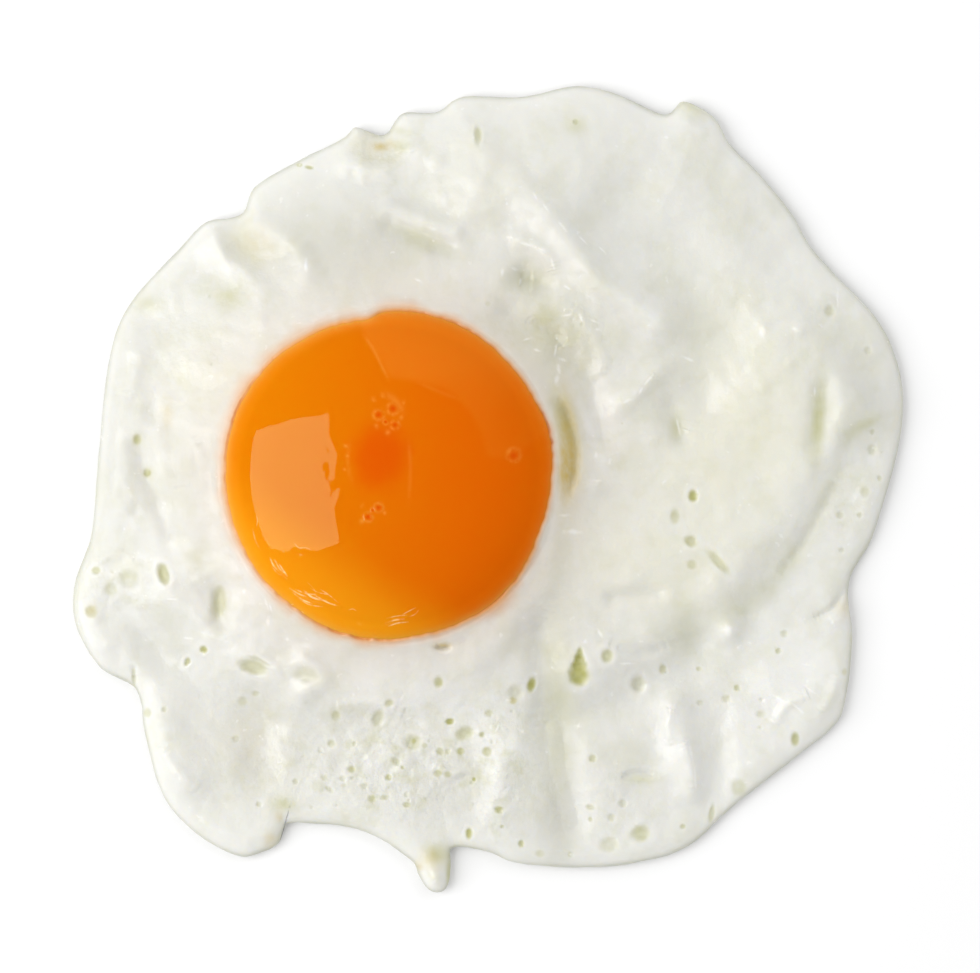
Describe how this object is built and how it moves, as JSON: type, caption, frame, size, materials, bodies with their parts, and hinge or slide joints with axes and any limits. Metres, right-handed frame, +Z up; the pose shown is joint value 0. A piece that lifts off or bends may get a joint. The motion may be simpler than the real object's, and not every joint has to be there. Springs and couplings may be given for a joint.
{
  "type": "fried egg",
  "caption": "Fried egg, sunny side up: a set white with lobes, folds, burst bubbles and a small drip at its rim, round a domed runny yolk in its pocket.",
  "frame": {"origin": "under the middle of the egg's outline, on the surface that the egg lies on", "axes": "+Z up through the egg; +X to the right and +Y away, as the egg is seen from above with its drip at the near edge and its yolk left of the middle"},
  "size_m": [0.1078, 0.1048, 0.017],
  "materials": {
    "egg_white": "moist, faintly translucent set egg white with a soft gloss",
    "yolk": "wet, glossy, translucent orange yolk"
  },
  "bodies": {
    "root": {"egg_white": "egg_white", "yolk": "yolk"}
  },
  "joints": []
}
